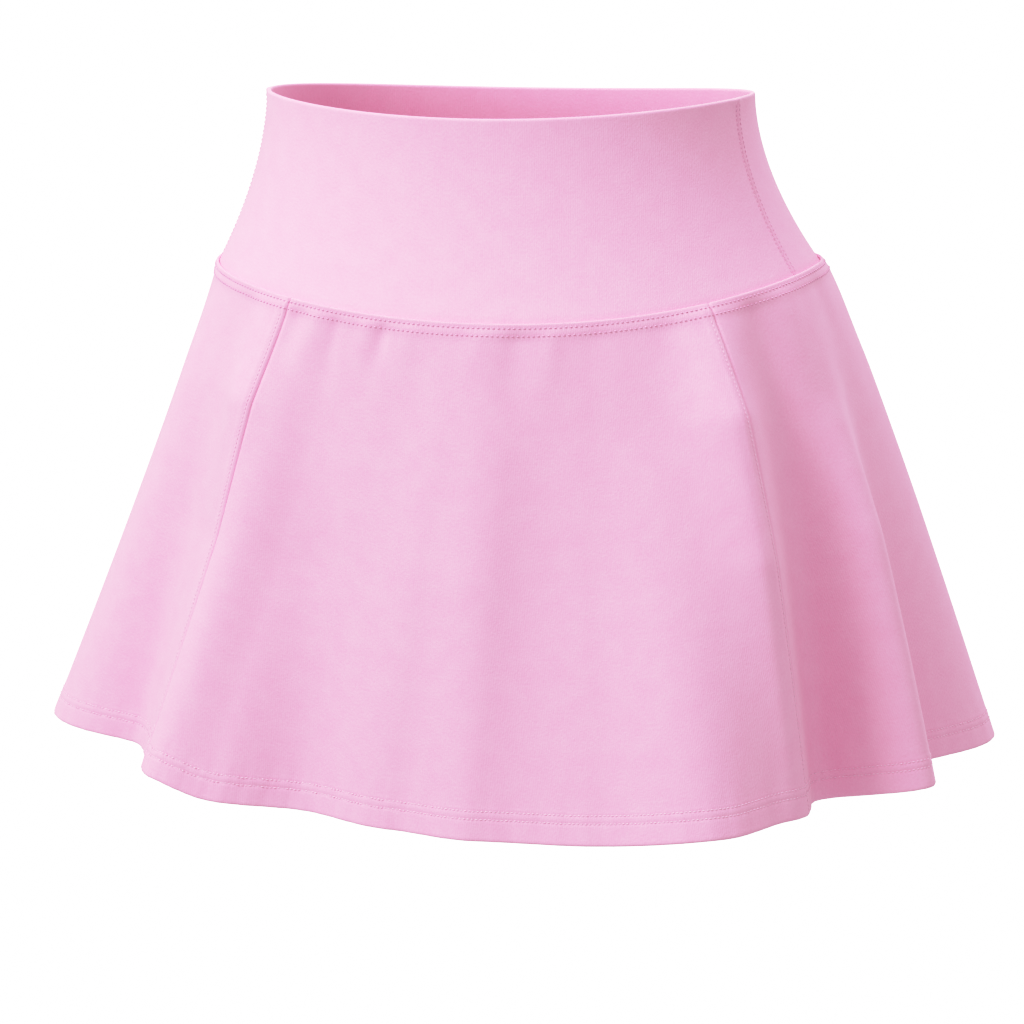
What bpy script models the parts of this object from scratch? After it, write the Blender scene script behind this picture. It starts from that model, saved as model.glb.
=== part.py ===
"""A flared sports skort: tall waistband, four-gore skirt, plain inner short. Metres, +Z up.

The front faces -Y and the wearer's left is +X. The origin is the centre of the waist opening
at the height of the top edge, where the wearer holds the garment up. Angles run round the body
in degrees: 0 at the centre front, 90 at the wearer's left side, 180 at the centre back.
Every piece is a wall between an outer and an inner face, with open edges left 0.3 mm apart.
"""
import math

import bpy
import bmesh
from mathutils import Vector

# ---------------------------------------------------------------- sizes
SEAM_GAP = 0.0003          # between the cut edges of two sewn pieces
SHORTS_GAP = 0.0006        # between the band's inner face and the short's top, round the curve
LAP = 0.010                # how far the band runs down behind the skirt's top edge

WAIST_HALF_WIDTH = 0.1252  # top opening
WAIST_SHIFT = -0.0030      # its centre lies this far to the wearer's left
WAIST_DEPTH_FRONT, WAIST_DEPTH_BACK = 0.0885, 0.0875
RIM_FRONT, RIM_SIDE, RIM_BACK = -0.0045, 0.0030, -0.0025   # height of the top edge

SEAM_HALF_WIDTH = 0.1560   # the waist seam, on the skirt's outer face
SEAM_SHIFT = 0.0010        # its centre lies this far to the wearer's left
SEAM_DEPTH_FRONT, SEAM_DEPTH_BACK = 0.1150, 0.1280
SEAM_FRONT, SEAM_SIDE, SEAM_BACK = -0.1005, -0.0855, -0.0880  # its height
SEAM_TILT = 0.0015         # it hangs this much lower on the wearer's left
SEAM_RISE_LEFT = 0.0062    # and swings up this much just at the wearer's left side
BAND_CURVE = 1.8           # the band springs out with this power of its depth

HEM_HALF_WIDTH = 0.2420    # the hem's mean line, before the folds
HEM_DEPTH_FRONT, HEM_DEPTH_BACK = 0.1580, 0.1780
HEM_FRONT, HEM_SIDE, HEM_BACK = -0.3460, -0.3350, -0.3380   # height of the hem
FLARE_EVEN, FLARE_LEFT = 0.96, -0.11   # power of the flare, and its change to the left side
FOLD_GROWTH = 1.20         # folds deepen with this power of the way down

BAND_WALL = 0.0024         # doubled cloth
SKIRT_WALL = 0.0012
HEM_TURN = 0.015           # the hem is turned up inside this far
HEM_WALL = 0.0024
SHORTS_WALL = 0.0012

# Hem folds: angle on the hem, how far the crest or valley stands off the mean line, and how
# much lower (+) than the mean hem it hangs. Millimetres.
FOLDS = (
    # name                  angle   out   drop
    ("front middle slope",       2,    -7,  3.6),
    ("front slope left",        16,     1,  3.0),
    ("front crest left",        30,    14, -1.8),
    ("front corner left",       40,     8, -3.8),
    ("side valley left",      51.5,   -33,  4.6),
    ("side crest left",         66,    -1, -2.4),
    ("side dip left",         79.5,   -20,  0.0),
    ("side lobe left",         103,    14,  0.0),
    ("back valley left",       125,   -16,  0.0),
    ("back crest left",        144,    16,  0.0),
    ("back dip left",          161,   -14,  0.0),
    ("back crest",             182,    10,  0.0),
    ("back dip right",         204,   -15,  0.0),
    ("back crest right",       224,    14,  0.0),
    ("back valley right",      243,   -16,  0.0),
    ("side lobe right",        268,    12,  0.0),
    ("side valley right",      299,   -28,  0.0),
    ("front corner right",     314,    -4, -2.0),
    ("front slope right",      323,   -11,  4.6),
    ("front valley right",     338,   -28,  5.4),
    ("front rise right",       350,   -20,  5.2),
)

# Panel seams of the skirt: angle at the waist seam and at the hem.
GORE_SEAMS = (
    # name           waist    hem
    ("front right",  -38.9,  -50.0),
    ("front left",    44.2,   44.0),
    ("back left",    138.0,  137.0),
    ("back right",   222.0,  224.0),
)

# Side seams of the band: angle at the top edge and at the waist seam.
BAND_SEAMS = {
    # side     top    waist
    "left":  (72.0,   71.0),
    "right": (-86.0, -82.0),
}

# The inner short, worn on a general figure.
HIP_HALF_WIDTH, HIP_DEPTH_FRONT, HIP_DEPTH_BACK, HIP_HEIGHT = 0.1620, 0.1120, 0.1270, -0.180
CROTCH_HEIGHT, LEG_HEM_HEIGHT = -0.262, -0.318
LEG_INNER, LEG_OUTER = 0.0006, 0.1620     # inner and outer side of a leg at the crotch
LEG_FRONT, LEG_BACK = 0.0860, 0.0900      # its depth
LEG_TAPER = 0.955                         # the leg opening, as a share of that size

# Colour, roughness and metallic value of each piece.
PINK = (0.880, 0.485, 0.668, 1.0)
PINK_INSIDE = (0.840, 0.450, 0.630, 1.0)
KNIT_ROUGHNESS = 0.85
KNIT_METALLIC = 0.0


# ---------------------------------------------------------------- shared forms
def sin(a):
    return math.sin(math.radians(a))


def cos(a):
    return math.cos(math.radians(a))


def around(angle, front, side, back):
    """A value that eases from front to side to back round the body."""
    c = cos(angle)
    return side + (front - side) * max(0.0, c) ** 2 + (back - side) * max(0.0, -c) ** 2


def oval(angle, half_width, depth_front, depth_back):
    depth = (depth_front + depth_back) / 2 + (depth_front - depth_back) / 2 * cos(angle)
    return Vector((half_width * sin(angle), -depth * cos(angle), 0.0))


def ease(x):
    return (1.0 - math.cos(math.pi * x)) / 2.0


def fold_at(angle):
    """Stand-off and drop of the hem at an angle, eased from one fold row to the next."""
    rows = sorted((a % 360.0, out, drop) for _, a, out, drop in FOLDS)
    rows = [(rows[-1][0] - 360.0,) + rows[-1][1:]] + rows + [(rows[0][0] + 360.0,) + rows[0][1:]]
    a = angle % 360.0
    for low, high in zip(rows, rows[1:]):
        if low[0] <= a <= high[0]:
            k = ease((a - low[0]) / (high[0] - low[0]))
            return tuple((p + (q - p) * k) / 1000.0 for p, q in zip(low[1:], high[1:]))
    return 0.0, 0.0


def hem_angle(waist_angle):
    """The hem angle straight below a waist angle: smooth through the four gore seams."""
    rows = [(w % 360.0, (h - w)) for _, w, h in GORE_SEAMS]
    rows.sort()
    n = len(rows)
    a = waist_angle % 360.0
    for i in range(-1, n):
        pts = []
        for j in (i - 1, i, i + 1, i + 2):
            turn, k = divmod(j, n)
            pts.append((rows[k][0] + 360.0 * turn, rows[k][1]))
        (x0, y0), (x1, y1), (x2, y2), (x3, y3) = pts
        if x1 <= a <= x2:
            h = x2 - x1
            m1, m2 = (y2 - y0) / (x2 - x0) * h, (y3 - y1) / (x3 - x1) * h
            u = (a - x1) / h
            shift = ((2 * u**3 - 3 * u**2 + 1) * y1 + (u**3 - 2 * u**2 + u) * m1
                     + (3 * u**2 - 2 * u**3) * y2 + (u**3 - u**2) * m2)
            return waist_angle + shift
    return waist_angle


def skirt_face(waist_angle, s):
    """The skirt's outer face: s is 0 at the waist seam and 1 at the hem."""
    low = hem_angle(waist_angle)
    out, drop = fold_at(low)
    top = oval(waist_angle, SEAM_HALF_WIDTH, SEAM_DEPTH_FRONT, SEAM_DEPTH_BACK)
    top.x += SEAM_SHIFT
    hem = oval(low, HEM_HALF_WIDTH, HEM_DEPTH_FRONT, HEM_DEPTH_BACK)
    away = Vector((sin(low) / HEM_HALF_WIDTH, -cos(low) / HEM_DEPTH_FRONT, 0.0)).normalized()
    power = FLARE_EVEN + FLARE_LEFT * sin(low)
    p = top + (hem - top) * s**power + away * (out * s**FOLD_GROWTH)
    z_top = around(waist_angle, SEAM_FRONT, SEAM_SIDE, SEAM_BACK) - SEAM_TILT * sin(waist_angle)
    z_top += SEAM_RISE_LEFT * max(0.0, sin(waist_angle)) ** 3
    z_hem = around(low, HEM_FRONT, HEM_SIDE, HEM_BACK) - drop
    p.z = z_top + (z_hem - z_top) * s
    return p


SKIRT_LENGTH = 0.262       # down the cloth from the waist seam to the hem, at the side


def normal_of(face, a, s):
    """Outward direction of a face, from its neighbours round and down."""
    da, ds = 0.05, 0.0005
    round_way = face(a + da, s) - face(a - da, s)
    down_way = face(a, s + ds) - face(a, s - ds)
    return down_way.cross(round_way).normalized()


def skirt_extended(angle, s):
    """The skirt's face, carried straight on above the waist seam for its edge normals."""
    if s >= 0.0:
        return skirt_face(angle, s)
    return skirt_face(angle, 0.0) * 2.0 - skirt_face(angle, -s)


def under_skirt(angle, down, depth):
    """A point this far down from the waist seam and this deep behind the skirt's outer face."""
    s = down / SKIRT_LENGTH
    return skirt_extended(angle, s) - normal_of(skirt_extended, angle, s) * depth


def band_face(angle, s):
    """The band's outer face: s is 0 at the top edge, 1 at the waist seam, 2 at its lower edge."""
    if s > 1.0:
        return under_skirt(angle, LAP * (s - 1.0), SKIRT_WALL + SEAM_GAP)
    top = oval(angle, WAIST_HALF_WIDTH, WAIST_DEPTH_FRONT, WAIST_DEPTH_BACK)
    top.x += WAIST_SHIFT
    top.z = around(angle, RIM_FRONT, RIM_SIDE, RIM_BACK)
    low = under_skirt(angle, 0.0, SKIRT_WALL + SEAM_GAP)
    k = max(s, 0.0) ** BAND_CURVE
    p = top + (low - top) * k
    p.z = top.z + (low.z - top.z) * s
    return p


def band_seam(side, s):
    top, low = BAND_SEAMS[side]
    return top + (low - top) * s


def shorts_face(side, turn, s):
    """The inner short's outer face. The turn runs from 0 at the centre front to 180 at the
    centre back; s is 0 to 1 in the waist seam, 2 at the hip, 3 at the crotch, 4 at the hem."""
    angle = side * turn
    lap = under_skirt(angle, LAP * min(s, 1.0), SKIRT_WALL + SEAM_GAP + BAND_WALL + SHORTS_GAP)
    if s <= 1.0:
        return lap
    hip = oval(angle, HIP_HALF_WIDTH, HIP_DEPTH_FRONT, HIP_DEPTH_BACK)
    hip.z = HIP_HEIGHT
    if s <= 2.0:
        return lap + (hip - lap) * (s - 1.0)
    size = 1.0 if s <= 3.0 else 1.0 + (LEG_TAPER - 1.0) * (s - 3.0)
    half, middle = (LEG_OUTER - LEG_INNER) / 2 * size, (LEG_OUTER + LEG_INNER) / 2
    depth = (LEG_FRONT if turn < 90.0 else LEG_BACK) * size
    leg = Vector((side * (middle - half * cos(2.0 * turn)), -depth * sin(2.0 * turn), 0.0))
    if s > 3.0:
        leg.z = CROTCH_HEIGHT + (LEG_HEM_HEIGHT - CROTCH_HEIGHT) * (s - 3.0)
        return leg
    down = 90.0 * (s - 2.0)
    p = hip + (leg - hip) * (1.0 - cos(down))
    p.z = HIP_HEIGHT + (CROTCH_HEIGHT - HIP_HEIGHT) * sin(down)
    return p


# ---------------------------------------------------------------- build
def rounded(wall, length):
    """Ribs through a folded edge: how far down, and the depth of its outer and inner face."""
    r = wall / 2
    return [((r - r * cos(k)) / length, r - r * sin(k), r + r * sin(k)) for k in (15, 50, 90)]


def wall_piece(name, face, left, right, columns, ribs, colour, parent):
    """A cloth wall: ribs (s, outer depth, inner depth) carried round from left to right."""
    bm = bmesh.new()
    grid = []
    for s, outer, inner in ribs:
        a0, a1 = left(s), right(s)
        step = (a1 - a0) / columns
        in0 = SEAM_GAP / 2 / ((face(a0 + step, s) - face(a0, s)).length / step)
        in1 = SEAM_GAP / 2 / ((face(a1 - step, s) - face(a1, s)).length / step)
        line = []
        for j in range(columns + 1):
            k = j / columns
            a = a0 + in0 + (a1 - a0 - in0 - in1) * k
            p, n = face(a, s), normal_of(face, a, s)
            line.append((p - n * outer, p - n * inner))
        grid.append(line)
    home = sum((pair[0] for pair in grid[0]), Vector((0.0, 0.0, 0.0))) / (columns + 1)
    rows = [[(bm.verts.new(p - home), bm.verts.new(q - home)) for p, q in line] for line in grid]
    last = len(rows) - 1
    for i in range(last):
        for j in range(columns):
            a, b, c, d = rows[i][j], rows[i][j + 1], rows[i + 1][j + 1], rows[i + 1][j]
            bm.faces.new((a[0], d[0], c[0], b[0]))
            bm.faces.new((a[1], b[1], c[1], d[1]))
    for j in range(columns):
        a, b = rows[0][j], rows[0][j + 1]
        bm.faces.new((a[1], a[0], b[0], b[1]))
        a, b = rows[last][j], rows[last][j + 1]
        bm.faces.new((a[0], a[1], b[1], b[0]))
    for i in range(last):
        a, b = rows[i][0], rows[i + 1][0]
        bm.faces.new((a[0], a[1], b[1], b[0]))
        a, b = rows[i][columns], rows[i + 1][columns]
        bm.faces.new((a[1], a[0], b[0], b[1]))
    bmesh.ops.recalc_face_normals(bm, faces=bm.faces)
    mesh = bpy.data.meshes.new(name)
    bm.to_mesh(mesh)
    bm.free()
    mesh.shade_smooth()
    knit = bpy.data.materials.new(name)
    knit.use_nodes = True
    shader = knit.node_tree.nodes["Principled BSDF"]
    shader.inputs["Base Color"].default_value = colour
    shader.inputs["Roughness"].default_value = KNIT_ROUGHNESS
    shader.inputs["Metallic"].default_value = KNIT_METALLIC
    knit.diffuse_color = colour
    mesh.materials.append(knit)
    piece = bpy.data.objects.new(name, mesh)
    piece.location = home
    piece.parent = parent
    bpy.context.scene.collection.objects.link(piece)
    return piece


def build():
    for old in list(bpy.data.objects):
        bpy.data.objects.remove(old, do_unlink=True)
    skort = bpy.data.objects.new("skort", None)
    bpy.context.scene.collection.objects.link(skort)

    # Waistband: doubled cloth, folded over at the top, its lower edge behind the skirt.
    band_length = 0.095
    band_ribs = rounded(BAND_WALL, band_length)
    band_ribs += [(s, 0.0, BAND_WALL) for s in (0.14, 0.30, 0.46, 0.62, 0.80, 1.0, 2.0)]
    wall_piece("waistband_front", band_face, lambda s: band_seam("right", s),
               lambda s: band_seam("left", s), 48, band_ribs, PINK, skort)
    wall_piece("waistband_back", band_face, lambda s: band_seam("left", s),
               lambda s: 360.0 + band_seam("right", s), 72, band_ribs, PINK, skort)

    # Skirt: four gores, hem turned up inside.
    turn = 1.0 - HEM_TURN / SKIRT_LENGTH
    levels = (0.0, LAP / SKIRT_LENGTH, 0.14, 0.26, 0.38, 0.50, 0.62, 0.74, 0.85)
    skirt_ribs = [(s, 0.0, SKIRT_WALL) for s in levels] + [(turn - 0.002, 0.0, SKIRT_WALL)]
    skirt_ribs += [(turn, 0.0, HEM_WALL)]
    skirt_ribs += [(1.0 - s, p, q) for s, p, q in reversed(rounded(HEM_WALL, SKIRT_LENGTH))]
    gores = (("skirt_front", 0, 1, 0.0), ("skirt_side_left", 1, 2, 0.0),
             ("skirt_back", 2, 3, 0.0), ("skirt_side_right", 3, 0, 360.0))
    for name, first, second, turn_on in gores:
        a0, a1 = GORE_SEAMS[first][1], GORE_SEAMS[second][1] + turn_on
        wall_piece(name, skirt_extended, lambda s, a=a0: a, lambda s, a=a1: a,
                   round((a1 - a0) / 2.75), skirt_ribs, PINK, skort)

    # Inner short: two legs, joined to each other only at the centre seam.
    levels = (0.0, 1.0, 1.33, 1.66, 2.0, 2.25, 2.5, 2.7, 2.86, 3.0, 3.5)
    short_ribs = [(s, 0.0, SHORTS_WALL) for s in levels]
    short_ribs += [(4.0 - s, p, q) for s, p, q in reversed(rounded(SHORTS_WALL, 0.056))]
    for name, side in (("shorts_left", 1.0), ("shorts_right", -1.0)):
        wall_piece(name, lambda a, s, k=side: shorts_face(k, k * a, s),
                   lambda s, k=side: 0.0 if k > 0 else -180.0,
                   lambda s, k=side: 180.0 if k > 0 else 0.0,
                   38, short_ribs, PINK_INSIDE, skort)


build()
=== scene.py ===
"""A flared skort in pale pink brushed knit, dressed over its solids. Metres, +Z up, front to -Y.

Angles run round the body in degrees: 0 at the centre front, 90 at the wearer's left side,
180 at the centre back. On the skirt, s is 0 at the waist seam and 1 at the hem; on the band,
s is 0 at the top edge, 1 at the waist seam and 2 at its lower edge, hidden behind the skirt.
"""
import math

import bpy
import numpy as np
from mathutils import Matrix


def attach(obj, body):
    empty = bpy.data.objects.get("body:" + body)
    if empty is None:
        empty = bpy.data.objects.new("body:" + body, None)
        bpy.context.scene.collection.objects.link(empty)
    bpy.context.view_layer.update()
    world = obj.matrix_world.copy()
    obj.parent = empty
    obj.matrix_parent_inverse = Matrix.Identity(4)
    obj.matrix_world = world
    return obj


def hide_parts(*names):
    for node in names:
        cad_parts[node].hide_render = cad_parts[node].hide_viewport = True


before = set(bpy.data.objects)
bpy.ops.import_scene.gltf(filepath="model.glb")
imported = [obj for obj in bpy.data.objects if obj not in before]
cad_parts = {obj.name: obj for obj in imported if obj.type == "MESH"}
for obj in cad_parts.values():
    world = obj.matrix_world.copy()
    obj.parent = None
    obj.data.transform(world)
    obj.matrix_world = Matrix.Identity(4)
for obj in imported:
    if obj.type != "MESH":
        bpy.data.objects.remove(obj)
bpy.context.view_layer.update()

MM = 0.001

# ---------------------------------------------------------------- sizes of the garment
SEAM_GAP = 0.3 * MM
SHORTS_GAP = 0.6 * MM
LAP = 10 * MM              # the band runs this far down behind the skirt's top edge

WAIST_HALF_WIDTH, WAIST_SHIFT = 0.1252, -0.0030
WAIST_DEPTH_FRONT, WAIST_DEPTH_BACK = 0.0885, 0.0875
RIM_FRONT, RIM_SIDE, RIM_BACK = -0.0045, 0.0030, -0.0025

SEAM_HALF_WIDTH, SEAM_SHIFT = 0.1560, 0.0010
SEAM_DEPTH_FRONT, SEAM_DEPTH_BACK = 0.1150, 0.1280
SEAM_FRONT, SEAM_SIDE, SEAM_BACK = -0.1005, -0.0855, -0.0880
SEAM_TILT, SEAM_RISE_LEFT = 0.0015, 0.0062
BAND_CURVE = 1.8

HEM_HALF_WIDTH = 0.2420
HEM_DEPTH_FRONT, HEM_DEPTH_BACK = 0.1580, 0.1780
HEM_FRONT, HEM_SIDE, HEM_BACK = -0.3460, -0.3350, -0.3380
FLARE_EVEN, FLARE_LEFT = 0.96, -0.11
FOLD_GROWTH = 1.20
SKIRT_LENGTH = 0.262       # a usual length down the cloth, from the waist seam to the hem
BAND_HEIGHT = 0.095        # a usual height up the cloth, from the waist seam to the top edge

BAND_WALL = 2.4 * MM
SKIRT_WALL = 1.2 * MM
HEM_WALL, HEM_TURN = 2.4 * MM, 15 * MM
SHORTS_WALL = 1.2 * MM

HIP_HALF_WIDTH, HIP_DEPTH_FRONT, HIP_DEPTH_BACK, HIP_HEIGHT = 0.1620, 0.1120, 0.1270, -0.180
CROTCH_HEIGHT, LEG_HEM_HEIGHT = -0.262, -0.318
LEG_INNER, LEG_OUTER = 0.0, 0.1620
LEG_FRONT, LEG_BACK = 0.0860, 0.0900
LEG_TAPER = 0.955
LEG_LENGTH = CROTCH_HEIGHT - LEG_HEM_HEIGHT

# Hem folds: angle on the hem, stand-off from the mean line in mm, extra drop in mm.
FOLDS = (
    # name                  angle   out   drop
    ("front middle slope",       2,    -7,  3.6),
    ("front slope left",        16,     1,  3.0),
    ("front crest left",        30,    14, -1.8),
    ("front corner left",       40,     8, -3.8),
    ("side valley left",      51.5,   -33,  4.6),
    ("side crest left",         66,    -1, -2.4),
    ("side dip left",         79.5,   -20,  0.0),
    ("side lobe left",         103,    14,  0.0),
    ("back valley left",       125,   -16,  0.0),
    ("back crest left",        144,    16,  0.0),
    ("back dip left",          161,   -14,  0.0),
    ("back crest",             182,    10,  0.0),
    ("back dip right",         204,   -15,  0.0),
    ("back crest right",       224,    14,  0.0),
    ("back valley right",      243,   -16,  0.0),
    ("side lobe right",        268,    12,  0.0),
    ("side valley right",      299,   -28,  0.0),
    ("front corner right",     314,    -4, -2.0),
    ("front slope right",      323,   -11,  4.6),
    ("front valley right",     338,   -28,  5.4),
    ("front rise right",       350,   -20,  5.2),
)

# Seams between the gores: angle at the waist seam and at the hem.
GORE_SEAMS = (
    # name           waist    hem
    ("front right",  -38.9,  -50.0),
    ("front left",    44.2,   44.0),
    ("back left",    138.0,  137.0),
    ("back right",   222.0,  224.0),
)

BAND_SEAMS = {
    # side     top    waist
    "left":  (72.0,   71.0),
    "right": (-86.0, -82.0),
}

# Main creases of the hanging cloth: a soft ridge (+) or trough (-) down a line from the waist
# seam to the hem, added to the hem folds. Its angles on the waist seam and towards the hem,
# its half width in degrees, and its heights in mm at the levels below.
CREASE_LEVELS = (0.0, 0.22, 0.5, 1.0)      # the first is the waist seam, where it has no height
CREASES = (
    # name                      waist   hem   half width   heights
    ("ridge at right seam",       -44,   -41,    6,        ( 6.5, -2.5, -5.0)),
    ("trough by right seam",      -27,   -19,    8,        (-6.5, -12.0, -10.5)),
    ("front ridge right",          -1,     6,    8,        ( 3.0,  5.5,  3.5)),
    ("front trough",               13,    15,    8,        (-2.0, -3.5, -2.0)),
    ("front swell left",           29,    28,    9,        ( 0.0,  4.0, 12.0)),
    ("ridge at left seam",         42,    43,    7,        (16.0, 15.0, -2.0)),
    ("trough past left seam",      55,    54,    4,        (-2.0, -3.0, -6.5)),
    ("ridge on left side",         70,    62,    5,        ( 1.0,  9.0, 11.0)),
    ("trough on left side",        79,    76,    7,        (-1.5, -3.0, -7.0)),
    ("left side ridge",            98,    99,    8,        ( 1.0,  1.0,  0.0)),
    ("back trough left",          117,   119,    9,        (-1.5, -3.0, -4.0)),
    ("ridge at back left seam",   136,   138,    8,        ( 2.5,  4.5,  5.5)),
    ("back trough by left seam",  163,   160,    9,        (-2.0, -4.0, -6.0)),
    ("back middle ridge",         184,   181,   10,        ( 1.5,  3.0,  4.0)),
    ("back trough by right seam", 203,   206,    9,        (-2.0, -3.5, -5.0)),
    ("ridge at back right seam",  226,   223,    8,        ( 2.5,  4.0,  5.0)),
    ("trough on right side",      248,   246,    9,        (-1.5, -2.5, -4.0)),
    ("right side ridge",          291,   291,    7,        ( 3.0,  3.0,  0.5)),
    ("right side trough",         302,   303,    7,        (-0.5, -5.0, -7.0)),
)
CREASE_LIFT = 0.20         # creases lean this much upward as they stand out

# Puckers drawn up by the topstitching under the waist seam: a soft ridge (+) or trough (-)
# that spreads and fades as it runs down.
PUCKERS = (
    # angle  half width mm  length mm  height mm
    (-52.0,   6.0,   34.0,  -0.9),
    (-36.0,   4.0,   30.0,  -1.6),
    (-31.5,   3.5,   24.0,    0.9),
    (-27.0,   3.0,   36.0,  -1.1),
    (-20.5,   3.5,   26.0,    0.9),
    (-17.0,   2.6,   24.0,  -1.4),
    (-12.0,   4.0,   30.0,    0.7),
    (1.0,     5.0,   22.0,    0.7),
    (7.5,     6.0,   46.0,  -1.4),
    (13.5,    4.0,   30.0,    0.9),
    (21.0,    5.0,   26.0,  -0.5),
    (34.0,    6.0,   30.0,  -0.5),
    (54.0,    5.0,   40.0,  -0.9),
    (63.0,    7.0,   46.0,    0.9),
    (78.0,    6.0,   40.0,  -0.9),
    (97.0,    5.0,   30.0,    0.7),
    (112.0,   6.0,   34.0,  -0.9),
    (127.0,   4.0,   26.0,  -0.7),
    (147.0,   5.0,   36.0,  -1.3),
    (156.0,   4.0,   26.0,    0.9),
    (163.0,   3.4,   28.0,  -1.1),
    (176.0,   6.0,   40.0,  -0.9),
    (188.0,   4.0,   26.0,    0.7),
    (196.0,   4.4,   34.0,  -1.3),
    (211.0,   5.0,   28.0,  -0.7),
    (232.0,   5.0,   34.0,  -1.1),
    (249.0,   6.0,   40.0,    0.7),
    (263.0,   5.0,   30.0,  -0.9),
    (281.0,   6.0,   38.0,  -0.7),
)

# Topstitching: how far each row lies from its edge or seam, and the pitch of its stitches.
WAIST_ROWS, WAIST_PITCH = (2.2 * MM, 6.0 * MM), 2.5 * MM
HEM_ROWS, HEM_PITCH = (15.0 * MM, 11.0 * MM), 2.1 * MM
GORE_ROW, GORE_PITCH = 2.8 * MM, 2.3 * MM
BAND_SIDE_ROWS, BAND_SIDE_PITCH = (-1.2 * MM, 2.0 * MM), 2.3 * MM
LEG_ROWS, LEG_PITCH = (18.0 * MM, 14.0 * MM), 2.5 * MM

# A stitch: its thickness in the heavy waist rows, at the hem and in the fine rows, how much
# of the pitch it fills, and how far it stands proud of the cloth.
WAIST_THREAD, HEM_THREAD, FINE_THREAD = 0.75 * MM, 0.50 * MM, 0.42 * MM
WAIST_FILL, STITCH_FILL = 0.52, 0.62
STITCH_PROUD = 0.04 * MM

# What sewing does to the cloth.
ROW_WIDTH = 0.7 * MM                        # half width of the groove that a row of stitches pulls
WAIST_PROUD, WAIST_GROOVE = 0.45 * MM, 0.18 * MM
WAIST_CHANNEL = (5.4 * MM, 9.0 * MM)        # the raised channel falls away between these depths
CREASE_DEPTH, CREASE_WIDTH = 0.90 * MM, 0.9 * MM
ALLOWANCE_PROUD, ALLOWANCE_WIDTH = 0.40 * MM, 7.0 * MM
GORE_GROOVE = 0.22 * MM
HEM_PROUD, HEM_GROOVE, HEM_RIPPLE = 0.22 * MM, 0.24 * MM, 0.30 * MM
BAND_CREASE, BAND_BULK, BAND_CORNER = 0.45 * MM, 0.30 * MM, 0.9 * MM
BAND_TUCK = 0.22 * MM                       # the band is drawn in where it meets the skirt
LEG_HEM_PROUD, LEG_GROOVE, LEG_CREASE = 0.25 * MM, 0.3 * MM, 0.35 * MM


# ---------------------------------------------------------------- the forms
def sind(a):
    return np.sin(np.radians(a))


def cosd(a):
    return np.cos(np.radians(a))


def bell(x, half_width):
    """A soft hump of height 1 round x = 0."""
    return np.exp(-((x / half_width) ** 2))


def step_up(x, start, end):
    """A soft step from 0 at start to 1 at end."""
    k = np.clip((x - start) / (end - start), 0.0, 1.0)
    return k * k * (3.0 - 2.0 * k)


def around(a, front, side, back):
    """A value that changes smoothly round the body, from its values at front, sides and back."""
    c = cosd(a)
    return side + (front - side) * np.maximum(0, c) ** 2 + (back - side) * np.maximum(0, -c) ** 2


def oval(a, half_width, depth_front, depth_back, shift=0.0):
    """Points of a level oval round the body, at height 0."""
    depth = (depth_front + depth_back) / 2 + (depth_front - depth_back) / 2 * cosd(a)
    return np.stack([half_width * sind(a) + shift, -depth * cosd(a), 0.0 * a], axis=-1)


def ringed(rows, columns):
    """Rows of a table sorted by angle and carried once round on both sides."""
    rows = sorted((row[0] % 360.0,) + tuple(row[1:]) for row in rows)
    before = [(row[0] - 360.0,) + row[1:] for row in rows[-2:]]
    after = [(row[0] + 360.0,) + row[1:] for row in rows[:2]]
    rows = before + rows + after
    return [np.array([row[c] for row in rows], dtype=float) for c in range(columns)]


def folds_at(a):
    """The hem folds' stand-off and extra drop at an angle on the hem."""
    angle, out, drop = ringed([row[1:] for row in FOLDS], 3)
    a = a % 360.0
    i = np.clip(np.searchsorted(angle, a, side="right") - 1, 0, len(angle) - 2)
    k = (a - angle[i]) / (angle[i + 1] - angle[i])
    k = (1.0 - np.cos(np.pi * k)) / 2.0
    return (out[i] + (out[i + 1] - out[i]) * k) * MM, (drop[i] + (drop[i + 1] - drop[i]) * k) * MM


def hem_angle(w):
    """The angle on the hem that a waist angle's line runs down to, smooth between the seams."""
    x, y = ringed([(row[1], row[2] - row[1]) for row in GORE_SEAMS], 2)
    a = w % 360.0
    i = np.clip(np.searchsorted(x, a, side="right") - 1, 1, len(x) - 3)
    h = x[i + 1] - x[i]
    m1 = (y[i + 1] - y[i - 1]) / (x[i + 1] - x[i - 1]) * h
    m2 = (y[i + 2] - y[i]) / (x[i + 2] - x[i]) * h
    u = (a - x[i]) / h
    return w + ((2 * u**3 - 3 * u**2 + 1) * y[i] + (u**3 - 2 * u**2 + u) * m1
                + (3 * u**2 - 2 * u**3) * y[i + 1] + (u**3 - u**2) * m2)


def turned_from(line, a):
    """Degrees from a line round to an angle, the short way."""
    return (a - line + 180.0) % 360.0 - 180.0


def crease_height(w, s):
    """Sum of the main creases, which grow from nothing at the waist seam."""
    height = 0.0 * w
    for _, waist_at, hem_at, half_width, heights in CREASES:
        off = turned_from(waist_at + (hem_at - waist_at) * s, w)
        height = height + np.interp(s, CREASE_LEVELS, (0.0,) + heights) * bell(off, half_width)
    return height * MM


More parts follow.
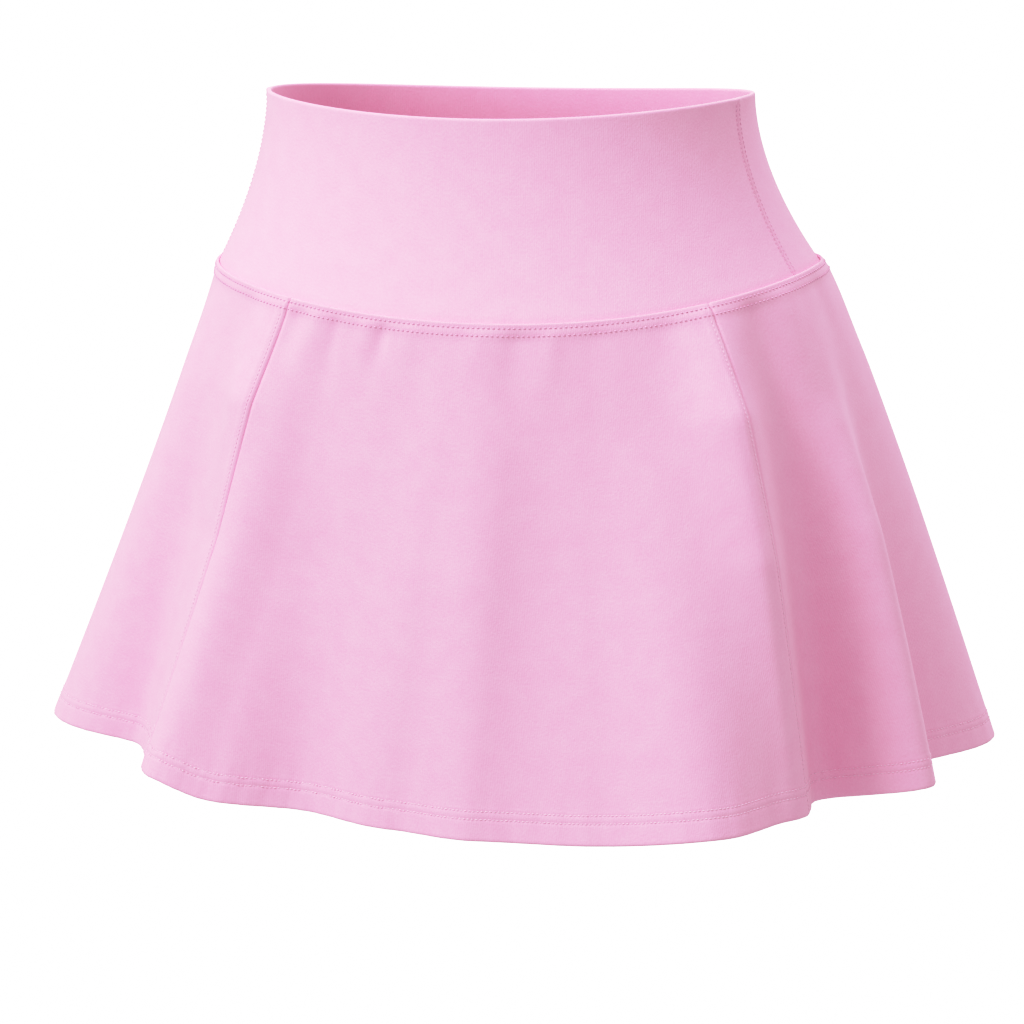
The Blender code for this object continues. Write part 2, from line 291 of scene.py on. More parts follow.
def skirt_face(w, s):
    """The skirt's outer face, carried straight on above the waist seam where s is below 0."""
    w, s = np.broadcast_arrays(np.asarray(w, float), np.asarray(s, float))
    down = np.abs(s)
    low = hem_angle(w)
    out, drop = folds_at(low)
    top = oval(w, SEAM_HALF_WIDTH, SEAM_DEPTH_FRONT, SEAM_DEPTH_BACK, SEAM_SHIFT)
    hem = oval(low, HEM_HALF_WIDTH, HEM_DEPTH_FRONT, HEM_DEPTH_BACK)
    away = np.stack([sind(low) / HEM_HALF_WIDTH, -cosd(low) / HEM_DEPTH_FRONT, 0.0 * low], axis=-1)
    away = away / np.linalg.norm(away, axis=-1, keepdims=True)
    power = FLARE_EVEN + FLARE_LEFT * sind(low)
    top[..., 2] = around(w, SEAM_FRONT, SEAM_SIDE, SEAM_BACK) - SEAM_TILT * sind(w)
    top[..., 2] += SEAM_RISE_LEFT * np.maximum(0, sind(w)) ** 3
    hem[..., 2] = around(low, HEM_FRONT, HEM_SIDE, HEM_BACK) - drop
    p = top + (hem - top) * (down**power)[..., None] + away * (out * down**FOLD_GROWTH)[..., None]
    p[..., 2] = top[..., 2] + (hem[..., 2] - top[..., 2]) * down
    away[..., 2] = CREASE_LIFT
    return np.where((s < 0)[..., None], 2.0 * top - p, p + away * crease_height(w, down)[..., None])


def normal_of(face, a, s):
    """Outward direction of a face, from its neighbours round and down."""
    da, ds = 0.05, 0.0005
    round_way = face(a + da, s) - face(a - da, s)
    down_way = face(a, s + ds) - face(a, s - ds)
    n = np.cross(down_way, round_way)
    return n / np.linalg.norm(n, axis=-1, keepdims=True)


def per_degree(face, a, s):
    """Metres of cloth to a degree, round the body."""
    return np.linalg.norm(face(a + 0.5, s) - face(a - 0.5, s), axis=-1)


def skirt_length(w):
    """Length of cloth from the waist seam to the hem."""
    return np.linalg.norm(skirt_face(w, 1.0) - skirt_face(w, 0.0), axis=-1)


def pucker_height(w, top):
    """Sum of the puckers, at a distance in metres below the waist seam."""
    scale = per_degree(skirt_face, w, np.maximum(top, 0.0) / SKIRT_LENGTH)
    height = 0.0 * w
    for angle, half_width, reach, lift in PUCKERS:
        off, reach = turned_from(angle, w) * scale, reach * MM
        spread = 1.0 + 0.9 * top / reach
        fade = step_up(top, 0.5 * MM, 9 * MM) * (1.0 - step_up(top, 0.35 * reach, 1.5 * reach))
        height = height + lift * MM * bell(off, half_width * MM * spread) * fade
    return height


def under_skirt(a, down, depth):
    """A layer behind the skirt's face, which follows its creases and puckers."""
    s = np.broadcast_to(down / SKIRT_LENGTH, np.shape(a))
    return skirt_face(a, s) - normal_of(skirt_face, a, s) * (depth - pucker_height(a, down))[..., None]


def band_face(a, s):
    """The band's outer face."""
    a, s = np.broadcast_arrays(np.asarray(a, float), np.asarray(s, float))
    top = oval(a, WAIST_HALF_WIDTH, WAIST_DEPTH_FRONT, WAIST_DEPTH_BACK, WAIST_SHIFT)
    top[..., 2] = around(a, RIM_FRONT, RIM_SIDE, RIM_BACK)
    low = under_skirt(a, 0.0, SKIRT_WALL + SEAM_GAP)
    k = (np.maximum(s, 0.0) ** BAND_CURVE)[..., None]
    upper = top + (low - top) * k
    upper[..., 2] = top[..., 2] + (low[..., 2] - top[..., 2]) * s
    lower = under_skirt(a, LAP * (np.maximum(s, 1.0) - 1.0), SKIRT_WALL + SEAM_GAP)
    return np.where((s > 1.0)[..., None], lower, upper)


def band_seam(side, s):
    """Angle of a band's side seam."""
    top, low = BAND_SEAMS[side]
    return top + (low - top) * s


def shorts_face(side):
    """One leg's outer face: turn 0 to 180 from the centre front round the side to the centre
    back; s is 0 to 1 in the waist seam, 2 at the hip, 3 at the crotch, 4 at the hem."""
    def face(turn, s):
        turn, s = np.broadcast_arrays(np.asarray(turn, float), np.asarray(s, float))
        depth = SKIRT_WALL + SEAM_GAP + BAND_WALL + SHORTS_GAP
        lap = under_skirt(side * turn, LAP * np.minimum(s, 1.0), depth)
        hip = oval(side * turn, HIP_HALF_WIDTH, HIP_DEPTH_FRONT, HIP_DEPTH_BACK)
        hip[..., 2] = HIP_HEIGHT
        upper = lap + (hip - lap) * np.maximum(s - 1.0, 0.0)[..., None]
        size = 1.0 + (LEG_TAPER - 1.0) * np.maximum(s - 3.0, 0.0)
        half, middle = (LEG_OUTER - LEG_INNER) / 2 * size, (LEG_OUTER + LEG_INNER) / 2
        leg_depth = np.where(turn < 90.0, LEG_FRONT, LEG_BACK) * size
        leg = np.stack([side * (middle - half * cosd(2 * turn)), -leg_depth * sind(2 * turn),
                        CROTCH_HEIGHT - LEG_LENGTH * (s - 3.0)], axis=-1)
        down = 90.0 * np.clip(s - 2.0, 0.0, 1.0)
        seat = hip + (leg - hip) * (1.0 - cosd(down))[..., None]
        seat[..., 2] = HIP_HEIGHT + (CROTCH_HEIGHT - HIP_HEIGHT) * sind(down)
        p = np.where((s > 2.0)[..., None], seat, upper)
        return np.where((s > 3.0)[..., None], leg, p)
    return face


# ---------------------------------------------------------------- relief in the cloth
def skirt_relief(w, s):
    """How far sewing and small creases lift the skirt's outer face, and its inner face."""
    length = skirt_length(w)
    top, hem = s * length, (1.0 - s) * length
    scale = per_degree(skirt_face, w, np.maximum(s, 0.0))

    soft = pucker_height(w, top)

    # Waist seam: a proud edge and channel, where two rows of stitches sink in.
    sewn = WAIST_PROUD * (1.0 - step_up(top, *WAIST_CHANNEL))
    for row in WAIST_ROWS:
        sewn = sewn - WAIST_GROOVE * bell(top - row, ROW_WIDTH)

    # Gore seams: a fine crease, with the allowance pressed under the cloth on one side.
    for _, waist_at, _ in GORE_SEAMS:
        off = turned_from(waist_at, w) * scale
        clear = step_up(top, 1.0 * MM, 3.0 * MM)
        allowance = step_up(off, -ALLOWANCE_WIDTH, -ALLOWANCE_WIDTH + 1.8 * MM)
        allowance = allowance * (1.0 - step_up(off, -0.4 * MM, 0.3 * MM))
        groove = GORE_GROOVE * bell(off + GORE_ROW, ROW_WIDTH)
        sewn = sewn + clear * (ALLOWANCE_PROUD * allowance - groove)
        sewn = sewn - CREASE_DEPTH * bell(off, CREASE_WIDTH)

    # Hem: two rows sink in, the turned-up cloth swells between and below them.
    turned_up = 1.0 - step_up(hem, HEM_ROWS[0] - 0.4 * MM, HEM_ROWS[0] + 2.4 * MM)
    sewn = sewn + HEM_PROUD * turned_up
    for row in HEM_ROWS:
        sewn = sewn - HEM_GROOVE * bell(hem - row, ROW_WIDTH)
    ripple = np.sin(hem_angle(w) * 2.9) * np.sin(hem_angle(w) * 1.13 + 0.7)
    soft = soft + HEM_RIPPLE * ripple * (1.0 - step_up(hem, 14 * MM, 30 * MM))
    return soft + sewn, soft


def band_relief(a, s):
    """The band: its side seams' crease and bulk, most of it in the fold at the top edge."""
    scale = per_degree(band_face, a, np.clip(s, 0.0, 1.9))
    down = s * BAND_HEIGHT
    lift = 0.0 * down
    for side in BAND_SEAMS:
        off = turned_from(band_seam(side, s), a) * scale
        lift = lift - BAND_CREASE * bell(off, 0.8 * MM) + BAND_BULK * bell(off, 4.5 * MM)
        lift = lift + BAND_CORNER * bell(off, 4.0 * MM) * bell(down, 5.0 * MM)
    lift = lift - BAND_TUCK * bell(s - 0.995, 0.012)
    return lift, 0.0 * lift


def shorts_relief(face):
    """A leg: its hem, turned up and sewn, and the crease of the centre seam."""
    def relief(turn, s):
        scale = per_degree(face, np.clip(turn, 1.0, 179.0), s)
        hem = (4.0 - s) * LEG_LENGTH
        centre = np.minimum(turn, 180.0 - turn) * scale
        lift = LEG_HEM_PROUD * (1.0 - step_up(hem, 17 * MM, 19 * MM))
        for row in LEG_ROWS:
            lift = lift - LEG_GROOVE * bell(hem - row, 0.8 * MM)
        lift = np.where(s > 3.0, lift, 0.0) - LEG_CREASE * bell(centre, 1.0 * MM)
        return lift, 0.0 * lift
    return relief


# ---------------------------------------------------------------- cloth pieces
def rounded_rows(wall):
    """Rows through a folded edge: distance from the edge, then outer and inner depth."""
    r = wall / 2
    return [(r - r * math.cos(k), r - r * math.sin(k), r + r * math.sin(k))
            for k in (math.radians(v) for v in (12, 35, 62, 90))]


def mesh_wall(name, outer, inner):
    """A closed wall between two grids of points, its UVs in metres along the cloth."""
    rows, columns = outer.shape[:2]
    middle = columns // 2
    across = np.linalg.norm(np.diff(outer, axis=1), axis=-1)
    across = np.concatenate([np.zeros((rows, 1)), np.cumsum(across, axis=1)], axis=1)
    across = across - across[:, middle:middle + 1]
    down = np.linalg.norm(np.diff(outer, axis=0), axis=-1)
    down = np.concatenate([np.zeros((1, columns)), np.cumsum(down, axis=0)], axis=0)
    points = np.concatenate([outer.reshape(-1, 3), inner.reshape(-1, 3)])
    uv = np.stack([across, -down], axis=-1).reshape(-1, 2)
    uv = np.concatenate([uv, uv])

    n = rows * columns
    index = np.arange(n).reshape(rows, columns)
    a, b, c, d = index[:-1, :-1], index[:-1, 1:], index[1:, 1:], index[1:, :-1]
    quads = [np.stack([a, d, c, b], -1).reshape(-1, 4),
             np.stack([a, b, c, d], -1).reshape(-1, 4) + n]
    for line, way in ((index[0], 1), (index[-1], -1), (index[:, 0], -1), (index[:, -1], 1)):
        p, q = (line[:-1], line[1:]) if way > 0 else (line[1:], line[:-1])
        quads.append(np.stack([p, q, q + n, p + n], -1))
    quads = np.concatenate(quads)

    mesh = bpy.data.meshes.new(name)
    mesh.from_pydata(points.tolist(), [], quads.tolist())
    layer = mesh.uv_layers.new(name="cloth")
    layer.data.foreach_set("uv", uv[quads.reshape(-1)].reshape(-1))
    mesh.shade_smooth()
    mesh.validate()
    piece = bpy.data.objects.new(name, mesh)
    bpy.context.scene.collection.objects.link(piece)
    return piece


def cloth_piece(name, face, relief, left, right, s_rows, depths, step, edge_steps):
    """Cut one piece: fine columns beside its two seams, even ones between them. A row is a
    level s, or a function that gives the level at each angle."""
    edge = np.array(edge_steps) * MM
    outer_rows, inner_rows = [], []
    widest = 0.0
    for s in s_rows:
        level = float(np.mean(s(np.array([left(1.0), right(1.0)])))) if callable(s) else s
        middle = (left(level) + right(level)) / 2
        width = (right(level) - left(level)) * float(per_degree(face, middle, level))
        widest = max(widest, width)
    count = max(8, int(widest / step))
    for s, (depth_out, depth_in) in zip(s_rows, depths):
        a0, a1 = left(s if not callable(s) else 1.0), right(s if not callable(s) else 1.0)
        level = s(np.array([a0, a1])) if callable(s) else np.array([s, s])
        m0, m1 = per_degree(face, np.array([a0, a1]), level)
        start, end = a0 + edge / m0, a1 - edge[::-1] / m1
        angles = np.concatenate([start, np.linspace(start[-1], end[0], count + 1)[1:-1], end])
        levels = s(angles) if callable(s) else np.full_like(angles, s)
        p, n = face(angles, levels), normal_of(face, angles, levels)
        lift, inner_lift = relief(angles, levels)
        outer_rows.append(p - n * (depth_out - lift)[:, None])
        inner_rows.append(p - n * (depth_in - inner_lift)[:, None])
    return mesh_wall(name, np.array(outer_rows), np.array(inner_rows))


# Columns of points beside a seam, and rows below the waist seam and above the hem, all in mm:
# close together where the sewing needs them, and evenly spread between.
SEAM_STEPS = (0.0, 0.4, 0.8, 1.4, 2.0, 2.6, 3.2, 4.2, 5.2, 6.2, 7.2, 9.0)
LEG_SEAM_STEPS = (0.0, 0.6, 1.2, 2.4, 4.5)
WAIST_STEPS = (1.2, 1.7, 2.2, 2.7, 3.3, 4.1, 4.9, 5.5, 6.0, 6.5, 7.1, 8.0, 9.5, 11.5,
               14, 17, 20.5, 24, 28)
HEM_STEPS = (28, 24, 21, 19, 17.8, 16.8, 16, 15.5, 15.0, 14.5, 13.9, 13, 12.1, 11.5, 11,
             10.5, 9.9, 9, 7.5, 5.5, 3.5, 2.2)
SKIRT_STEP, BAND_STEP, LEG_STEP = 3.0 * MM, 4.0 * MM, 5.0 * MM


def below_waist(distance):
    return lambda w: distance / skirt_length(w)


def above_hem(distance):
    return lambda w: 1.0 - distance / skirt_length(w)


def between(share):
    margin = HEM_STEPS[0] * MM
    return lambda w: (margin + (skirt_length(w) - 2 * margin) * share) / skirt_length(w)


skirt_rows, skirt_depths = [], []
for down, near, far in rounded_rows(SKIRT_WALL):
    skirt_rows.append(below_waist(down))
    skirt_depths.append((near, far))
for down in WAIST_STEPS:
    skirt_rows.append(below_waist(down * MM))
    skirt_depths.append((0.0, SKIRT_WALL))
for share in np.linspace(0.0, 1.0, 48)[1:-1]:
    skirt_rows.append(between(share))
    skirt_depths.append((0.0, SKIRT_WALL))
for up in HEM_STEPS:
    skirt_rows.append(above_hem(up * MM))
    skirt_depths.append((0.0, HEM_WALL if up <= HEM_TURN / MM else SKIRT_WALL))
for up, near, far in reversed(rounded_rows(HEM_WALL)):
    skirt_rows.append(above_hem(up))
    skirt_depths.append((near, far))

gores = []
for name, first, second, turn in (("front_gore", 0, 1, 0.0), ("left_side_gore", 1, 2, 0.0),
                                  ("back_gore", 2, 3, 0.0), ("right_side_gore", 3, 0, 360.0)):
    a0, a1 = GORE_SEAMS[first][1], GORE_SEAMS[second][1] + turn
    gores.append(cloth_piece(name, skirt_face, skirt_relief, lambda s, a=a0: a, lambda s, a=a1: a,
                             skirt_rows, skirt_depths, SKIRT_STEP, SEAM_STEPS))
front_gore, left_side_gore, back_gore, right_side_gore = gores

band_rows = [down / BAND_HEIGHT for down, _, _ in rounded_rows(BAND_WALL)]
band_depths = [(near, far) for _, near, far in rounded_rows(BAND_WALL)]
for s in list(np.linspace(0.02, 0.96, 30)) + [0.975, 0.99, 1.0, 1.05, 1.2, 1.5, 2.0]:
    band_rows.append(float(s))
    band_depths.append((0.0, BAND_WALL))
band_front = cloth_piece("band_front", band_face, band_relief, lambda s: band_seam("right", s),
                         lambda s: band_seam("left", s),
                         band_rows, band_depths, BAND_STEP, SEAM_STEPS)
band_back = cloth_piece("band_back", band_face, band_relief, lambda s: band_seam("left", s),
                        lambda s: 360.0 + band_seam("right", s),
                        band_rows, band_depths, BAND_STEP, SEAM_STEPS)

LEG_HEM_STEPS = (21, 19.5, 18.6, 18, 17.4, 16.2, 15, 14.5, 14, 13.5, 12.4, 9, 5, 2.4)
shorts_rows = [0.0, 0.3, 0.6, 1.0] + list(np.linspace(1.0, 3.0, 34)[1:])
shorts_rows += list(np.linspace(3.0, 3.6, 6)[1:])
shorts_rows += [4.0 - up * MM / LEG_LENGTH for up in LEG_HEM_STEPS]
shorts_depths = [(0.0, SHORTS_WALL)] * len(shorts_rows)
for up, near, far in reversed(rounded_rows(SHORTS_WALL)):
    shorts_rows.append(4.0 - up / LEG_LENGTH)
    shorts_depths.append((near, far))
legs = []
for name, side in (("left_leg", 1.0), ("right_leg", -1.0)):
    face = shorts_face(side)
    legs.append(cloth_piece(name, face, shorts_relief(face), lambda s: 0.0, lambda s: 180.0,
                            shorts_rows, shorts_depths, LEG_STEP, LEG_SEAM_STEPS))
    if side < 0:
        legs[-1].data.flip_normals()
left_leg, right_leg = legs


# ---------------------------------------------------------------- stitches
def stitch_row(face, relief, a, s, pitch, width, fill=STITCH_FILL):
    """Stitches along a line on a face: their middles, half lengths and outward directions."""
    p, n = face(a, s), normal_of(face, a, s)
    p = p + n * (relief(a, s)[0] + width * 0.35 + STITCH_PROUD)[:, None]
    run = np.concatenate([[0.0], np.cumsum(np.linalg.norm(np.diff(p, axis=0), axis=1))])
    count = max(1, int(round(run[-1] / pitch)))
    at = (np.arange(count) + 0.5) * run[-1] / count
    middle = np.stack([np.interp(at, run, p[:, k]) for k in range(3)], axis=1)
    out = np.stack([np.interp(at, run, n[:, k]) for k in range(3)], axis=1)
    half = run[-1] / count * fill / 2
    tail = np.stack([np.interp(at - half, run, p[:, k]) for k in range(3)], axis=1)
    head = np.stack([np.interp(at + half, run, p[:, k]) for k in range(3)], axis=1)
    return middle, (head - tail) / 2, out, width


def stitches(name, rows):
    """One mesh of short, round-backed stitches, each bedding into the cloth at its ends."""
    # Points round the thread.
    ring = [(math.cos(v), math.sin(v)) for v in np.linspace(0, 2 * np.pi, 7)[:-1]]
    # Along the stitch: where, how thick, and how deep it sinks.
    stations = ((-1.0, 0.45, -0.55), (-0.62, 0.95, 0.0), (0.62, 0.95, 0.0), (1.0, 0.45, -0.55))
    points, quads, base = [], [], 0
    for middle, along, out, width in rows:
        side = np.cross(along, out)
        side = side / np.linalg.norm(side, axis=1, keepdims=True)
        for t, size, dip in stations:
            for x, y in ring:
                points.append(middle + along * t + side * (x * size * width / 2)
                              + out * ((y * size * 0.8 + dip) * width / 2))
        n, sides = len(middle), len(ring)
        first = base + np.arange(n)
        for r in range(len(stations) - 1):
            for c in range(sides):
                e = (c + 1) % sides
                corners = (r * sides + c, r * sides + e, (r + 1) * sides + e, (r + 1) * sides + c)
                quads.append(np.stack([first + corner * n for corner in corners], -1))
        base += n * sides * len(stations)
    mesh = bpy.data.meshes.new(name)
    mesh.from_pydata(np.concatenate(points).tolist(), [], np.concatenate(quads).tolist())
    mesh.shade_smooth()
    piece = bpy.data.objects.new(name, mesh)
    bpy.context.scene.collection.objects.link(piece)
    return piece


ring_angles = np.linspace(0.0, 360.0, 1441)
ring_lengths = skirt_length(ring_angles)
waist_stitches = stitches("waist_topstitch", [
    stitch_row(skirt_face, skirt_relief, ring_angles, row / ring_lengths, WAIST_PITCH,
               WAIST_THREAD, WAIST_FILL) for row in WAIST_ROWS])
hem_stitches = stitches("hem_topstitch", [
    stitch_row(skirt_face, skirt_relief, ring_angles, 1.0 - row / ring_lengths, HEM_PITCH,
               HEM_THREAD) for row in HEM_ROWS])
gore_lines = []
for _, waist_at, _ in GORE_SEAMS:
    s = np.linspace(8.5 * MM / SKIRT_LENGTH, 1.0 - 2.0 * MM / SKIRT_LENGTH, 300)
    a = waist_at - GORE_ROW / per_degree(skirt_face, np.full_like(s, waist_at), s)
    gore_lines.append(stitch_row(skirt_face, skirt_relief, a, s, GORE_PITCH, FINE_THREAD))
gore_stitches = stitches("gore_topstitch", gore_lines)
side_lines = []
for side in BAND_SEAMS:
    s = np.linspace(0.03, 0.985, 120)
    for off in BAND_SIDE_ROWS:
        a = band_seam(side, s) + off / per_degree(band_face, band_seam(side, s), s)
        side_lines.append(stitch_row(band_face, band_relief, a, s, BAND_SIDE_PITCH, FINE_THREAD))
side_stitches = stitches("band_side_topstitch", side_lines)
leg_lines = []
for side in (1.0, -1.0):
    face = shorts_face(side)
    turn = np.linspace(0.3, 179.7, 300)
    for row in LEG_ROWS:
        level = np.full_like(turn, 4.0 - row / LEG_LENGTH)
        middle, along, out, width = stitch_row(face, shorts_relief(face), turn, level,
                                               LEG_PITCH, FINE_THREAD)
        leg_lines.append((middle, along, side * out, width))
leg_stitches = stitches("leg_hem_topstitch", leg_lines)


# ---------------------------------------------------------------- materials
def linear(hex_colour):
    """An sRGB hex colour as linear RGBA."""
    parts = [int(hex_colour[i:i + 2], 16) / 255.0 for i in (1, 3, 5)]
    return tuple(c / 12.92 if c <= 0.04045 else ((c + 0.055) / 1.055) ** 2.4 for c in parts) + (1.0,)


def add(tree, kind, settings=None, links=None):
    """Add a node, set its properties and sockets, and link its inputs."""
    node = tree.nodes.new(kind)
    for key, value in (settings or {}).items():
        if isinstance(key, str) and hasattr(node, key):
            setattr(node, key, value)
        else:
            node.inputs[key].default_value = value
    for key, source in (links or {}).items():
        tree.links.new(source, node.inputs[key])
    return node


def start_material(name):
    material = bpy.data.materials.new(name)
    material.use_nodes = True
    tree = material.node_tree
    tree.nodes.clear()
    return material, tree


WALE_PITCH = 1.1 * MM      # real wales lie 0.6 mm apart: drawn coarser, to show at this distance
NAP_GRAIN = 1.3 * MM       # tufts of brushed fibre, really about 0.5 mm: drawn coarser, to show
CLOUD = 11 * MM            # the nap lies in very slightly lighter and darker patches


def brushed_knit(name, shade, light):
    """Brushed nylon and elastane interlock knit: a soft, short nap that scatters light, so the
    shading is even and the outline glows a little, over faint upright wales."""
    material, tree = start_material(name)
    place = add(tree, "ShaderNodeTexCoord")
    nap = add(tree, "ShaderNodeTexNoise", {"Scale": 1 / NAP_GRAIN, "Detail": 3.0, "Roughness": 0.65},
              {"Vector": place.outputs["UV"]})
    cloud = add(tree, "ShaderNodeTexNoise", {"Scale": 1 / CLOUD, "Detail": 3.0, "Roughness": 0.55},
                {"Vector": place.outputs["UV"]})
    wale = add(tree, "ShaderNodeTexWave", {"wave_type": "BANDS", "bands_direction": "X",
                                           "Scale": 0.314 / WALE_PITCH, "Distortion": 2.2,
                                           "Detail": 2.0, "Detail Scale": 1.6},
               {"Vector": place.outputs["UV"]})
    tone = add(tree, "ShaderNodeMath", {"operation": "MULTIPLY_ADD", 1: 1.6},
               {0: nap.outputs["Fac"], 2: cloud.outputs["Fac"]})
    tone = add(tree, "ShaderNodeMapRange", {"From Min": 0.75, "From Max": 1.85},
               {"Value": tone.outputs[0]})
    colour = add(tree, "ShaderNodeMix", {"data_type": "RGBA"}, {0: tone.outputs["Result"]})
    colour.inputs[6].default_value = linear(shade)
    colour.inputs[7].default_value = linear(light)
    height = add(tree, "ShaderNodeMath", {"operation": "MULTIPLY_ADD", 1: 0.16},
                 {0: wale.outputs["Fac"], 2: nap.outputs["Fac"]})
    bump = add(tree, "ShaderNodeBump", {"Strength": 0.55, "Distance": 0.30 * MM},
               {"Height": height.outputs[0]})
    shader = add(tree, "ShaderNodeBsdfPrincipled",
                 {"Roughness": 0.86, "IOR": 1.45, "Specular IOR Level": 0.22,
                  "Sheen Weight": 0.22, "Sheen Roughness": 0.55, "Sheen Tint": linear("#ffe9f5")},
                 {"Base Color": colour.outputs[2], "Normal": bump.outputs["Normal"]})
    add(tree, "ShaderNodeOutputMaterial", None, {"Surface": shader.outputs["BSDF"]})
    material.diffuse_color = linear(light)
    return material


def spun_thread(name, colour):
    """Textured polyester overlock thread: matte, a touch smoother than the nap round it."""
    material, tree = start_material(name)
    place = add(tree, "ShaderNodeTexCoord")
    fibre = add(tree, "ShaderNodeTexNoise", {"Scale": 1 / (0.5 * MM), "Detail": 2.0},
                {"Vector": place.outputs["Object"]})
    bump = add(tree, "ShaderNodeBump", {"Strength": 0.2, "Distance": 0.08 * MM},
               {"Height": fibre.outputs["Fac"]})
    shader = add(tree, "ShaderNodeBsdfPrincipled",
                 {"Base Color": linear(colour), "Roughness": 0.6, "IOR": 1.5,
                  "Specular IOR Level": 0.35},
                 {"Normal": bump.outputs["Normal"]})
    add(tree, "ShaderNodeOutputMaterial", None, {"Surface": shader.outputs["BSDF"]})
    return material


skirt_knit = brushed_knit("brushed_knit_skirt", "#f4a3c9", "#f9b3d4")
band_knit = brushed_knit("brushed_knit_band", "#f4a3c9", "#f9b3d4")
shorts_knit = brushed_knit("brushed_knit_shorts", "#f0a2c8", "#f3aace")
light_thread = spun_thread("thread_light_pink", "#f5c1dc")
deep_thread = spun_thread("thread_deep_pink", "#e9a5ca")

# ---------------------------------------------------------------- what each piece is
# The slot and the cloth of each group of pieces.
SKIRT, BAND = ("skirt_knit", skirt_knit), ("waistband_knit", band_knit)
SHORTS = ("shorts_knit", shorts_knit)

# Each piece's cut as it lies flat: its widest and longest measure along the cloth in metres,
# and its area.
CUTS = (
    # piece          node                flat            area   held         slot, cloth
    (front_gore,      "skirt_front",      (0.394, 0.261), 0.078, "hung",      SKIRT),
    (left_side_gore,  "skirt_side_left",  (0.372, 0.272), 0.077, "hung",      SKIRT),
    (back_gore,       "skirt_back",       (0.390, 0.265), 0.078, "hung",      SKIRT),
    (right_side_gore, "skirt_side_right", (0.303, 0.270), 0.068, "hung",      SKIRT),
    (band_front,      "waistband_front",  (0.372, 0.110), 0.036, "stretched", BAND),
    (band_back,       "waistband_back",   (0.519, 0.106), 0.045, "stretched", BAND),
    (left_leg,        "shorts_left",      (0.531, 0.313), 0.108, "stretched", SHORTS),
    (right_leg,       "shorts_right",     (0.531, 0.313), 0.108, "stretched", SHORTS),
)
for piece, node, flat, area, held, (slot, cloth) in CUTS:
    piece.data.materials.append(cloth)
    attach(piece, "root")
    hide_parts(node)
SEWING = (
    (waist_stitches, "skirt_knit", deep_thread),
    (hem_stitches, "skirt_knit", light_thread),
    (gore_stitches, "skirt_knit", light_thread),
    (side_stitches, "waistband_knit", deep_thread),
    (leg_stitches, "shorts_knit", light_thread),
)
for piece, slot, thread in SEWING:
    piece.data.materials.append(thread)
    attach(piece, "root")

# ---------------------------------------------------------------- studio
FLOOR_HEIGHT = -1.05       # the waist of a standing wearer is about this far above the floor
FLOOR_RADIUS, BACKDROP_RADIUS = 14.0, 16.0
BACKDROP_GLOW = 2.35

floor_mesh = bpy.data.meshes.new("studio_floor")
floor_rim = [(FLOOR_RADIUS * math.cos(v), FLOOR_RADIUS * math.sin(v), FLOOR_HEIGHT)
             for v in np.linspace(0, 2 * math.pi, 65)[:-1]]
floor_mesh.from_pydata(floor_rim, [], [list(range(64))])
floor = bpy.data.objects.new("studio_floor", floor_mesh)
bpy.context.scene.collection.objects.link(floor)
glow, tree = start_material("backlit_white_acrylic")
lamp = add(tree, "ShaderNodeEmission", {"Color": linear("#ffffff"), "Strength": BACKDROP_GLOW})
add(tree, "ShaderNodeOutputMaterial", None, {"Surface": lamp.outputs["Emission"]})
floor_mesh.materials.append(glow)

# The backdrop is a ball round it all, in rings of points from its foot to its top.
RINGS, RING_POINTS = 25, 48
backdrop_mesh = bpy.data.meshes.new("studio_backdrop")
points, faces = [], []
for i, up in enumerate(np.radians(np.linspace(-89.0, 89.0, RINGS))):
    for j in range(RING_POINTS):
        turn = 2 * math.pi * j / RING_POINTS
        points.append((BACKDROP_RADIUS * math.cos(up) * math.cos(turn),
                       BACKDROP_RADIUS * math.cos(up) * math.sin(turn),
                       BACKDROP_RADIUS * math.sin(up)))
        if i < RINGS - 1:
            k = (j + 1) % RING_POINTS
            low, high = RING_POINTS * i, RING_POINTS * (i + 1)
            faces.append((low + j, high + j, high + k, low + k))
faces += [list(range(RING_POINTS)), list(range(len(points) - RING_POINTS, len(points)))]
backdrop_mesh.from_pydata(points, [], faces)
backdrop = bpy.data.objects.new("studio_backdrop", backdrop_mesh)
bpy.context.scene.collection.objects.link(backdrop)
backdrop_mesh.materials.append(glow)

# Both are only seen: the softboxes and the fill alone light the garment.
for ray in ("diffuse", "glossy", "transmission", "shadow", "volume_scatter"):
    setattr(backdrop, "visible_" + ray, False)
    setattr(floor, "visible_" + ray, False)

FILL = 0.69
world = bpy.data.worlds.new("soft_studio_fill")
bpy.context.scene.world = world
world.use_nodes = True
world.node_tree.nodes["Background"].inputs["Color"].default_value = linear("#ffffff")
world.node_tree.nodes["Background"].inputs["Strength"].default_value = FILL


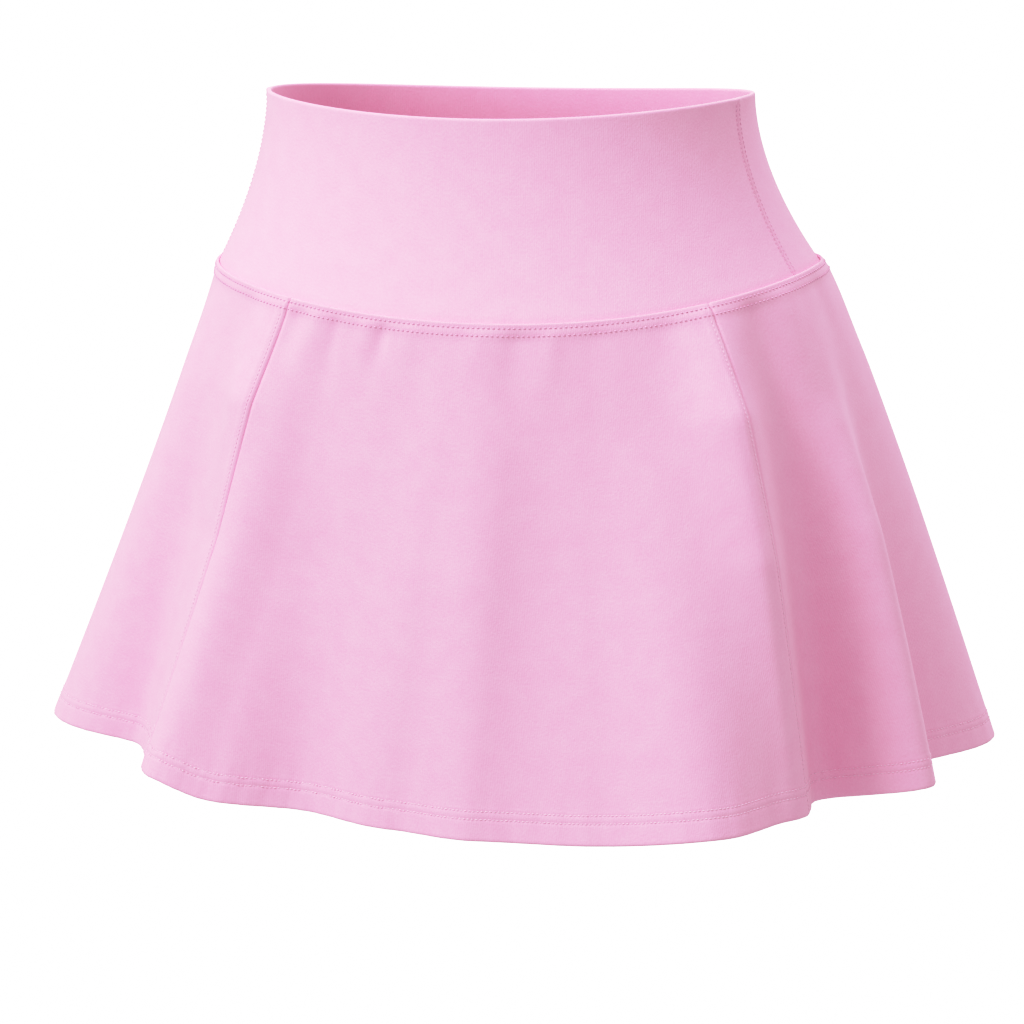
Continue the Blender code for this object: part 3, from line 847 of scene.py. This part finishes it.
def look_from(azimuth, elevation):
    """The direction from the garment to a camera or lamp, and the turn that faces it back."""
    a, e = math.radians(azimuth), math.radians(elevation)
    away = np.array([math.sin(a) * math.cos(e), -math.cos(a) * math.cos(e), math.sin(e)])
    return away, (math.pi / 2 - e, 0.0, a)


GARMENT_MIDDLE = np.array([0.0, 0.0, -0.18])


def softbox(name, azimuth, elevation, distance, size, power):
    """A square softbox that looks at the middle of the garment."""
    light = bpy.data.lights.new(name, "AREA")
    light.shape, light.size, light.energy = "SQUARE", size, power
    lamp = bpy.data.objects.new(name, light)
    away, lamp.rotation_euler = look_from(azimuth, elevation)
    lamp.location = GARMENT_MIDDLE + away * distance
    bpy.context.scene.collection.objects.link(lamp)


#        name            azimuth, elevation, distance, size, power
softbox("key_softbox",       -47,        42,      2.4,  0.9,    51)
softbox("top_softbox",         0,        88,      2.4,  1.6,    28)
softbox("back_softbox",      150,        40,      2.8,  1.8,    26)

CAMERA_AZIMUTH, CAMERA_ELEVATION, CAMERA_DISTANCE = 10.0, 11.67, 1.75
CAMERA_AIM = np.array([-0.0018, 0.0, -0.2169])
CAMERA_LENS, CAMERA_SENSOR = 117.7, 36.0
camera_data = bpy.data.cameras.new("photo_camera")
camera_data.lens, camera_data.sensor_width = CAMERA_LENS, CAMERA_SENSOR
camera_data.clip_start, camera_data.clip_end = 0.05, 60.0
camera = bpy.data.objects.new("photo_camera", camera_data)
away, camera.rotation_euler = look_from(CAMERA_AZIMUTH, CAMERA_ELEVATION)
camera.location = CAMERA_AIM + CAMERA_DISTANCE * away
bpy.context.scene.collection.objects.link(camera)
bpy.context.scene.camera = camera

# The picture's response: straight in the darks, with a soft shoulder like film in the lights.
view = bpy.context.scene.view_settings
view.view_transform = "Standard"
view.use_curve_mapping = True
FILM_WHITE = 2.5
FILM_CURVE = ((0.275, 0.275), (0.5, 0.49), (0.7, 0.67), (1.0, 0.82), (1.3, 0.905), (1.6, 0.965),
              (2.0, 0.99))
view.curve_mapping.white_level = (FILM_WHITE, FILM_WHITE, FILM_WHITE)
response = view.curve_mapping.curves[3]
for scene_light, shown in FILM_CURVE:
    response.points.new(scene_light / FILM_WHITE, shown)
view.curve_mapping.update()
